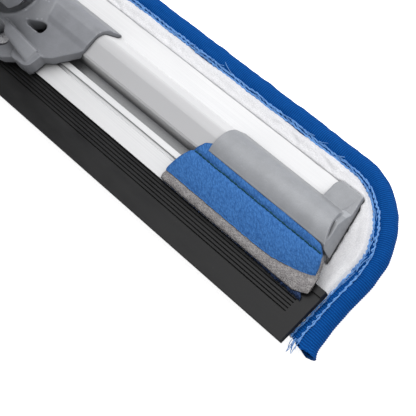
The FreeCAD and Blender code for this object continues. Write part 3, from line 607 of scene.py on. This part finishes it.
def build_binding():
    """Folded, ribbed tape round three sides of the pad."""
    section = tape_section()
    count = int(EDGE_LENGTH / (RIB_PITCH / 5.0))
    rows = []
    crowns = []
    for index in range(count + 1):
        along = EDGE_LENGTH * index / count
        point, outward = edge_frame(along)
        flare, spread = end_flare(along)
        sway = edge_sway(along)
        tangent = Vector((0.0, 0.0, 1.0)).cross(outward)
        rib = math.cos(2.0 * math.pi * along / RIB_PITCH)
        row = []
        for place, (inward, height, ribbed) in enumerate(section):
            push = RIB_HEIGHT * rib * ribbed
            lump = 0.22 * ripple(along, inward * 1.7, 5.5, 9.0) * ribbed
            if place < TOP_POINTS:
                height = tape_top(along, inward) + lump * 0.6
                inward = inward + 0.5 * ripple(along, 5.0, 3.2, 6.0) * (inward / TAPE_WIDTH) ** 6
            slant = cut_slant(inward, height) * cut_end_share(along, 3.0)
            along_shift = slant * (1.0 if along > EDGE_LENGTH / 2.0 else -1.0)
            rise = rib_direction(place, inward, height, outward) * (push + lump)
            spot = point + outward * (flare + sway - inward * spread) + Vector((0.0, 0.0, height))
            row.append(spot + rise + tangent * along_shift)
            crowns.append(rib * ribbed)
        rows.append(row)
    soup = Soup()
    start = soup.grid(rows, ring=True)
    wide = len(section)
    soup.faces.append(tuple(range(start + wide - 1, start - 1, -1)))
    end = start + count * wide
    soup.faces.append(tuple(range(end, end + wide)))
    made = soup.piece("edge_binding_tape", TAPE, "blue_binding")
    # The rib attribute carries each point's place on a rib, for the painted shade in the rib valleys.
    made.data.attributes.new(RIB_ATTRIBUTE, "FLOAT", "POINT").data.foreach_set("value", crowns)
    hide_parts("edge_binding")


def on_tape(along, inward, lift=0.0):
    """A point on the top face of the tape."""
    point, outward = edge_frame(along)
    flare, spread = end_flare(along)
    sway = edge_sway(along)
    spot = point + outward * (flare + sway - inward * spread)
    spot.z = tape_top(along, min(inward, TAPE_WIDTH)) + lift
    return spot


def chain_loop(soup, along, inward, length, width):
    """One slack chain stitch: a flat teardrop of thread."""
    path = []
    for step in range(11):
        turn = 2.0 * math.pi * step / 10.0
        forward = length * (0.5 - 0.5 * math.cos(turn / 2.0))
        side = width * math.sin(turn) * (0.6 + 0.4 * math.cos(turn / 2.0))
        lift = 0.30 + 0.16 * math.sin(turn / 2.0)
        path.append(on_tape(along + forward, inward + side, lift))
    soup.tube(path, dice.uniform(0.25, 0.38))


def seam_row(row, along):
    """How far in from the edge a row of stitches runs."""
    return TAPE_WIDTH - 0.7 - row * row_gap(along)


def lazy_thread(row):
    """Path of the slack thread that wanders along a row of stitches."""
    steps = int(EDGE_LENGTH / 1.1)
    path = []
    for step in range(steps + 1):
        along = EDGE_LENGTH * step / steps
        wander = 0.5 * ripple(step, 1.0, 5.0, 20.0 + row)
        path.append(on_tape(along, seam_row(row, along) + wander, 0.34))
    return path


def build_stitching():
    """Two rows of chain stitches with stray and frayed ends."""
    soup = Soup()
    pitch = 3.3
    for row in range(2):
        along = 0.8
        while along < EDGE_LENGTH - pitch:
            inward = seam_row(row, along) + dice.uniform(-0.2, 0.2)
            length = pitch * dice.uniform(1.05, 1.35)
            chain_loop(soup, along, inward, length, dice.uniform(0.35, 0.75))
            along += pitch * dice.uniform(0.9, 1.08)
        soup.tube(lazy_thread(row), 0.33)
    for _ in range(90):
        stray_thread(soup, dice.uniform(6.0, EDGE_LENGTH - 6.0))
    for _ in range(26):
        place = dice.uniform(STRAIGHT_SIDE, STRAIGHT_SIDE + ARC * 1.6)
        stray_thread(soup, dice.choice((place, EDGE_LENGTH - place)))
    for end in (0.0, EDGE_LENGTH):
        for _ in range(9):
            frayed_tail(soup, end)
    soup.piece("edge_stitching", BLUE_THREAD, "blue_binding")


def stray_thread(soup, along):
    """A loose end that wanders off the seam."""
    length = dice.uniform(3.0, 9.0)
    heading = dice.choice((-1.0, 1.0))
    drift = dice.uniform(-0.34, 0.28)
    inward = TAPE_WIDTH - dice.uniform(0.4, 2.4)
    path = []
    for step in range(9):
        share = step / 8.0
        path.append(on_tape(along + heading * length * share,
                            inward + drift * length * share ** 1.6,
                            0.35 + 0.9 * math.sin(share * 2.4) * dice.uniform(0.7, 1.0)))
    soup.tube(path, dice.uniform(0.13, 0.26), sides=4)


def frayed_tail(soup, end):
    """Thread ends that hang over the cut end of the tape."""
    direction = -1.0 if end == 0.0 else 1.0
    inward = dice.uniform(TAPE_WIDTH - 4.6, TAPE_WIDTH - 1.6)
    curl = dice.uniform(-1.6, 1.6)
    length = dice.uniform(2.2, 5.6)
    start = on_tape(end - direction * 1.5, inward, 0.3)
    path = [start]
    for step in range(1, 8):
        share = step / 7.0
        path.append(start + Vector((curl * share ** 2, -(1.5 + length * share), -2.6 * share ** 2)))
    soup.tube(path, 0.17, sides=4)


def hardware_end(y):
    """How far out the base plate, or the end cap behind it, reaches at this depth."""
    if y < CAP_LOW.y:
        return BAR_HIGH.x + 0.3
    share = (y - CAP_LOW.y) / (CAP_HIGH.y - CAP_LOW.y)
    return mix(CAP_FLANGE_FRONT, CAP_FLANGE_REAR, share) + 0.1


def pad_rear(x, inset):
    """Back edge of the pad at x, set in from the outer edge."""
    beyond = abs(x) - (SIDE - CORNER)
    radius = CORNER - inset
    if beyond <= 0.0:
        return BACK - inset
    return BACK - CORNER + math.sqrt(max(0.0, radius * radius - beyond * beyond))


def pad_inset(x, y):
    """Distance inward from the pad's outer edge, except along the open front."""
    across = Vector((abs(x) - (SIDE - CORNER), y - (BACK - CORNER)))
    if across.x > 0.0 and across.y > 0.0:
        return CORNER - across.length
    return min(SIDE - abs(x), BACK - y)


def fleece_height(x, y):
    """Top of the sleeve: bulges round the hardware and dips under it and at the tape."""
    seam = pad_inset(x, y) - SEAM_INSET
    clear = abs(x) - hardware_end(y)
    if y > CAP_LOW.y:
        clear = max(clear, y - (CAP_HIGH.y if abs(x) > TAB_INNER else BAR_HIGH.y) - 0.05)
    crown = 0.75 * math.sin(math.pi * min(1.0, max(0.0, seam / 7.0)))
    lumps = 0.75 * ripple(x, y, 17.0, 1.0) + 0.40 * ripple(x, y, 6.0, 2.0)
    fold = abs(ripple(x, y, 21.0, 3.0))
    crease = 0.8 * math.exp(-(fold / 0.06) ** 2) * ramp(seam, 1.0, 5.0)
    tuck = 1.7 * (1.0 - ramp(seam, 0.0, 2.6))
    rim = FLEECE_HIGH.z + 0.1 + crown + lumps - crease - tuck
    if y < RUBBER_HIGH.y + 1.0:
        rim = min(rim, RUBBER_LOW.z - 0.12)
    welt = 1.15 * math.exp(-((clear - 0.6) / 1.6) ** 2) * ramp(y, 38.0, 42.0)
    pressed = BAR_LOW.z - 2.6
    return mix(pressed, rim + welt, ramp(clear, -0.35, 0.15))


def build_fleece():
    """Sleeve inside the tape: a smooth bulging top and a tufted underside."""
    straight = SIDE - CORNER
    radius = CORNER - SEAM_INSET
    turns = np.linspace(0.0, math.pi / 2.0, 40)[1:]
    right = [straight + radius * math.sin(t) for t in turns]
    columns = [-x for x in reversed(right)] + list(np.linspace(-straight, straight, 260)) + right
    shares = list(np.linspace(0.0, 0.88, 46)) + list(np.linspace(0.885, 1.0, 14))
    top, under = [], []
    front = FRONT + 1.2
    for x in columns:
        rear = pad_rear(x, SEAM_INSET)
        top_row, under_row = [], []
        for share in shares:
            y = mix(front, rear, share)
            pile = 0.16 * ripple(x, y, 1.7, 5.0) + 0.10 * ripple(x, y, 0.9, 6.0)
            top_row.append(Vector((x, y, fleece_height(x, y) + pile)))
            edge = min(pad_inset(x, y) - SEAM_INSET, y - front)
            sag = FLEECE_LOW.z + 0.9 + 2.4 * (1.0 - ramp(edge, 0.0, 4.0))
            tuft = 0.55 * ripple(x, y, 3.4, 7.0) + 0.30 * ripple(x, y, 1.6, 8.0)
            under_row.append(Vector((x, y, sag + tuft)))
        top.append(top_row)
        under.append(under_row)
    soup = Soup()
    first = soup.grid([row[::-1] for row in top])
    second = soup.grid(under)
    close_sheets(soup, first, second, len(columns), len(shares))
    made = soup.piece("pad_fleece_sleeve", FLEECE, "white_fleece")
    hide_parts("pad_fleece")


def close_sheets(soup, first, second, rows, count):
    """Joins the rims of two grids; the first grid's rows run the other way."""
    last_column = count - 1
    last_row = rows - 1

    def upper(r, c):
        return first + r * count + (last_column - c)

    def lower(r, c):
        return second + r * count + c

    for r in range(last_row):
        soup.faces.append((upper(r, 0), upper(r + 1, 0), lower(r + 1, 0), lower(r, 0)))
        soup.faces.append((lower(r, last_column), lower(r + 1, last_column),
                           upper(r + 1, last_column), upper(r, last_column)))
    for c in range(last_column):
        soup.faces.append((lower(0, c), lower(0, c + 1), upper(0, c + 1), upper(0, c)))
        soup.faces.append((upper(last_row, c), upper(last_row, c + 1),
                           lower(last_row, c + 1), lower(last_row, c)))


def soft_slab(name, node, material, slot, cell, bump):
    """A thin layer with an uneven surface, in the space of a CAD node's solids."""
    low, high = span(node)
    columns = max(2, int((high.x - low.x) / cell))
    rows = max(2, int((high.y - low.y) / cell))
    top, under = [], []
    for x in np.linspace(low.x + bump, high.x - bump, columns):
        line = np.linspace(low.y + bump, high.y - bump, rows)
        top.append([Vector((x, y, high.z - bump + bump * ripple(x, y, cell * 2.0, 1.0))) for y in line])
        under.append([Vector((x, y, low.z + bump + bump * ripple(x, y, cell * 2.0, 2.0))) for y in line])
    soup = Soup()
    first = soup.grid([row[::-1] for row in top])
    second = soup.grid(under)
    close_sheets(soup, first, second, len(top), rows)
    made = soup.piece(name, material, slot)
    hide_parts(node)


# ---------------------------------------------------------------------------------------
# End wipes
# ---------------------------------------------------------------------------------------
SEAM_Y = 38.3
SEAM_HEIGHT = 8.75
FRONT_HEIGHT = 5.35
REAR_HEIGHT = 9.75
CLOTH_REAR = 46.4
CLOTH_FRONT = 23.8
CLOTH_LEFT = 129.0
CLOTH_RIGHT = 220.8
COVERED_RIGHT = 205.6
CLOTH_THICK = 0.7
FOAM_FRONT = 19.6


def cloth_front(x):
    """Front edge of the blue cloth, which pulls back towards the outer end."""
    return CLOTH_FRONT + 6.1 * max(0.0, (x - 188.0) / 32.6) ** 2.2


def cloth_left(y):
    """Left edge of the cloth, which slants and then ducks under the end of the cover."""
    slant = 8.5 * max(0.0, (y - CLOTH_FRONT) / 21.4) ** 1.25
    duck = 3.2 * ramp(y, CLOTH_REAR - 2.8, CLOTH_REAR)
    return CLOTH_LEFT + slant + duck


def cloth_right(y):
    """Outer edge of the cloth, which turns in under the end cap."""
    return CLOTH_RIGHT - 5.1 * max(0.0, (y - 29.9) / 10.8) ** 2.6


def cloth_height(x, y):
    """Top of the blue cloth: out from under the cover, pinched at the seam, then down."""
    front = cloth_front(x)
    if y > SEAM_Y:
        share = (y - SEAM_Y) / (CLOTH_REAR - SEAM_Y)
        height = mix(SEAM_HEIGHT, REAR_HEIGHT, share) - 0.1 * math.sin(math.pi * share)
    else:
        share = (SEAM_Y - y) / (SEAM_Y - front)
        crown = max(0.0, math.sin(math.pi * share))
        height = mix(SEAM_HEIGHT, FRONT_HEIGHT, share ** 1.25) + 0.7 * crown ** 0.8
    height -= 1.0 * math.exp(-((y - SEAM_Y) / 1.0) ** 2)
    height -= 1.0 * ramp(x, 205.0, 224.0) * ramp(SEAM_Y - y, -1.0, 6.0)
    height += 0.28 * ripple(x, y, 13.0, 11.0) + 0.12 * ripple(x, y, 4.0, 12.0)
    return height


def wipe_point(u, v):
    """Place on the cloth: u runs along the head, v from under the cover to the front edge.

    Under the end cap the cloth stops short, at COVERED_RIGHT.
    """
    nominal = mix(CLOTH_LEFT, CLOTH_RIGHT, u)
    y = mix(CLOTH_REAR, cloth_front(nominal), v)
    right = mix(cloth_right(y), COVERED_RIGHT, ramp(y, 41.2, 42.2))
    x = mix(cloth_left(y), right, u)
    return x, y


def build_wipe_cloth():
    """The right wipe's blue cloth."""
    rows_top, rows_under = [], []
    across = list(np.linspace(0.0, 1.0, 40))
    for u in np.linspace(0.0, 1.0, 110):
        top, under = [], []
        for v in across:
            x, y = wipe_point(u, v)
            wave = 0.25 * ripple(x, 3.0, 3.0, 14.0) * ramp(v, 0.9, 1.0)
            z = cloth_height(x, y)
            top.append(Vector((x, y + wave, z - 0.25 * ramp(v, 0.96, 1.0))))
            under.append(Vector((x, y + wave, z - CLOTH_THICK)))
        rows_top.append(top)
        rows_under.append(under)
    soup = Soup()
    first = soup.grid(rows_top)
    second = soup.grid([row[::-1] for row in rows_under])
    close_sheets(soup, second, first, len(rows_top), len(across))
    # Its rows run from rear to front, which leaves every face inside out.
    soup.faces = [tuple(reversed(face)) for face in soup.faces]
    return soup


def wipe_droop(x):
    """How far the wipe hangs down towards its outer end."""
    return 1.1 * ramp(x, 200.0, 222.0)


def foam_ring(u):
    """Cross-section of the foam core at a place along it."""
    x_nominal = mix(CLOTH_LEFT, CLOTH_RIGHT, u)
    front = cloth_front(x_nominal)
    droop = wipe_droop(x_nominal)
    end_pull = 2.8 * ramp(x_nominal, 216.0, 221.0) ** 2
    ring = []
    for v in np.linspace(0.12, 1.0, 10):
        y = mix(SEAM_Y + 0.4, front, v)
        ring.append((y, cloth_height(x_nominal, y) - CLOTH_THICK - 0.08))
    lip_z = ring[-1][1]
    toe_y = FOAM_FRONT + end_pull
    toe_z = 3.0 - droop
    for share in np.linspace(0.12, 1.0, 9):
        bulge = 0.9 * math.sin(math.pi * share)
        y = mix(front, toe_y, share) - bulge * 0.6
        z = mix(lip_z, toe_z, share) + bulge * 0.5
        ring.append((y, z))
    ring += [(toe_y + 0.5, toe_z - 0.45), (toe_y + 3.0, toe_z - 0.2), (30.9, 4.25 - droop),
             (SEAM_Y - 0.6, 4.9 - droop), (SEAM_Y - 0.4, 6.0)]
    return ring


def build_wipe_foam():
    """The right wipe's foam core, with a cut and pitted surface."""
    rows = []
    steps = 130
    for index in range(steps + 1):
        u = index / steps
        row = []
        for y, z in foam_ring(u):
            share = min(1.0, max(0.0, (y - FOAM_FRONT) / (CLOTH_REAR - FOAM_FRONT)))
            left = mix(128.8, cloth_left(y) + 0.4, ramp(y, 20.0, 30.0))
            right = mix(222.9, cloth_right(y) - 0.2, ramp(share, 0.2, 0.75))
            right -= 3.2 * (1.0 - ramp(y, FOAM_FRONT, FOAM_FRONT + 4.5)) ** 2
            x = mix(left, right, u)
            rough = 0.16 * ripple(x * 1.3, y + z, 0.9, 31.0) + 0.2 * ripple(x, y + z, 2.6, 32.0)
            row.append(Vector((x, y + rough * 0.7, z + rough * 0.5)))
        rows.append(row)
    soup = Soup()
    start = soup.grid(rows, ring=True)
    wide = len(rows[0])
    end = start + steps * wide
    soup.faces.append(tuple(range(start + wide - 1, start - 1, -1)))
    soup.faces.append(tuple(range(end, end + wide)))
    return soup


def build_wipe_backing():
    """Looped cloth under the foam; its raw front edge shows as a dark fringe."""
    depth_points = 16
    top, under = [], []
    for u in np.linspace(0.0, 1.0, 100):
        x_nominal = mix(128.5, 219.5, u)
        droop = wipe_droop(x_nominal)
        line_top, line_under = [], []
        for y in np.linspace(FOAM_FRONT + 0.5, SEAM_Y - 1.0, depth_points):
            x = mix(cloth_left(y) - 0.4, mix(220.0, 217.0, (y - 20.0) / 18.0), u)
            bed = mix(2.35, 3.55, ramp(y, 20.0, 30.0)) + 0.6 * ramp(y, 30.0, 38.0) - droop
            line_top.append(Vector((x, y, bed + 0.15)))
            line_under.append(Vector((x, y, bed - 0.45 + 0.1 * ripple(x, y, 1.5, 3.0))))
        top.append(line_top)
        under.append(line_under)
    soup = Soup()
    first = soup.grid([row[::-1] for row in top])
    second = soup.grid(under)
    close_sheets(soup, first, second, len(top), depth_points)
    for _ in range(900):
        x = 220.8 - 91.0 * dice.random() ** 1.5
        droop = wipe_droop(x)
        length = dice.uniform(0.6, 1.5) * mix(0.8, 1.5, ramp(x, 180.0, 215.0))
        start = Vector((x, FOAM_FRONT + dice.uniform(0.3, 1.0), 2.3 - droop + dice.uniform(-0.3, 0.4)))
        lean = Vector((dice.uniform(-0.5, 0.5), -1.0, dice.uniform(-0.9, 0.1)))
        path = [start, start + lean * length * 0.5, start + lean * length + Vector((0.0, 0.1, -0.2))]
        soup.tube(path, 0.13, sides=3)
    return soup


def build_seam_thread():
    """Green stitches that pin the cloth down in front of the cover."""
    soup = Soup()
    x = cloth_left(SEAM_Y) + 0.8
    while x < cloth_right(SEAM_Y) - 2.0:
        length = dice.uniform(2.3, 3.1)
        offset = dice.uniform(-0.16, 0.16)
        path = []
        for step in range(6):
            share = step / 5.0
            spot = x + length * share
            lift = 0.30 * math.sin(math.pi * share) + 0.06
            path.append(Vector((spot, SEAM_Y + offset, cloth_height(spot, SEAM_Y) + lift)))
        soup.tube(path, 0.34)
        x += length * dice.uniform(0.90, 1.04)
    return soup


def build_wipes():
    """Both end wipes; the left one mirrors the right."""
    layers = (
        ("wipe_cloth", build_wipe_cloth(), KNIT, "blue_knit_cloth", "wipe_cloth"),
        ("wipe_foam", build_wipe_foam(), FOAM, "grey_foam", "wipe_foam"),
        ("wipe_backing", build_wipe_backing(), BACKING, "blue_backing_cloth", "wipe_backing"),
        ("wipe_seam", build_seam_thread(), GREEN_THREAD, "blue_knit_cloth", None),
    )
    for name, soup, material, slot, node in layers:
        for side, shape in (("right", soup), ("left", soup.mirrored())):
            made = shape.piece("%s_%s_soft" % (name, side), material, slot)
            if node:
                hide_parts("%s_%s" % (node, side))


# ---------------------------------------------------------------------------------------
# Studio
# ---------------------------------------------------------------------------------------
def build_floor():
    """Pale floor that glows only for the camera, so that it reads as white paper."""
    soup = Soup()
    reach = 2600.0
    level = cad_low.z / MM - 0.35
    rows = [[Vector((x, y, level)) for y in np.linspace(-reach, reach, 9)]
            for x in np.linspace(reach, -reach, 9)]
    soup.grid(rows)
    finish = Finish("studio_floor", 0.9, specular=0.05)
    tone = finish.grain(400.0, detail=2.0)
    finish.feed("Base Color", finish.blend(tone, (0.88, 0.88, 0.88), (0.92, 0.92, 0.92)))
    seen = finish.tree.nodes.new("ShaderNodeLightPath").outputs["Is Camera Ray"]
    finish.shader.inputs["Emission Color"].default_value = (1.0, 1.0, 1.0, 1.0)
    finish.feed("Emission Strength", finish.remap(seen, 0.0, 1.0, 0.0, 0.75))
    mesh = bpy.data.meshes.new("studio_floor")
    mesh.from_pydata([p * MM for p in soup.points], [], soup.faces)
    mesh.materials.append(finish.done())
    floor = bpy.data.objects.new("studio_floor", mesh)
    scene.collection.objects.link(floor)


def add_light(name, place, target, size, power):
    """A square soft box at place, aimed at target, in millimetres."""
    lamp = bpy.data.lights.new(name, "AREA")
    lamp.shape = "SQUARE"
    lamp.size = size * MM
    lamp.energy = power
    made = bpy.data.objects.new(name, lamp)
    made.location = Vector(place) * MM
    made.rotation_mode = "QUATERNION"
    made.rotation_quaternion = (Vector(target) - Vector(place)).to_track_quat("-Z", "Y")
    scene.collection.objects.link(made)


def light_studio():
    """Even white surroundings, a large soft box behind and a weaker one at the right."""
    world = bpy.data.worlds.new("studio")
    world.use_nodes = True
    world.node_tree.nodes["Background"].inputs["Color"].default_value = (1.0, 1.0, 1.0, 1.0)
    world.node_tree.nodes["Background"].inputs["Strength"].default_value = 0.42
    scene.world = world
    scene.view_settings.view_transform = "Standard"
    middle = (150.0, 40.0, 0.0)
    add_light("softbox_rear", (-100.0, 650.0, 1200.0), middle, 1200.0, 21.0)
    add_light("softbox_right", (1000.0, 300.0, 700.0), middle, 700.0, 3.5)


def aim_camera():
    """Looks down on the right half of the head from beyond its right end, camera rolled."""
    target = Vector((156.3, 23.5, 0.0)) * MM
    distance = 708.9 * MM
    azimuth = math.radians(76.32)
    elevation = math.radians(56.65)
    roll = math.radians(-33.56)
    back = Vector((math.sin(azimuth) * math.cos(elevation),
                   -math.cos(azimuth) * math.cos(elevation),
                   math.sin(elevation)))
    level = Vector((math.cos(azimuth), math.sin(azimuth), 0.0))
    upward = back.cross(level)
    right = level * math.cos(roll) + upward * math.sin(roll)
    lens = bpy.data.cameras.new("camera")
    lens.lens = 138.46
    lens.sensor_width = 36.0
    lens.clip_start = 0.01
    camera = bpy.data.objects.new("camera", lens)
    turn = Matrix((right, back.cross(right), back)).transposed()
    camera.matrix_world = Matrix.Translation(target + back * distance) @ turn.to_4x4()
    scene.collection.objects.link(camera)
    scene.camera = camera


dress_cad_nodes()
build_mouldings()
build_binding()
build_stitching()
build_fleece()
soft_slab("hook_tape_strips", "hook_tape", HOOKS, "hook_tape", 4.0, 0.1)
soft_slab("pad_backing_cloth", "pad_backing", LOOP_CLOTH, "loop_cloth", 5.0, 0.1)
build_wipes()
build_floor()
light_studio()
aim_camera()
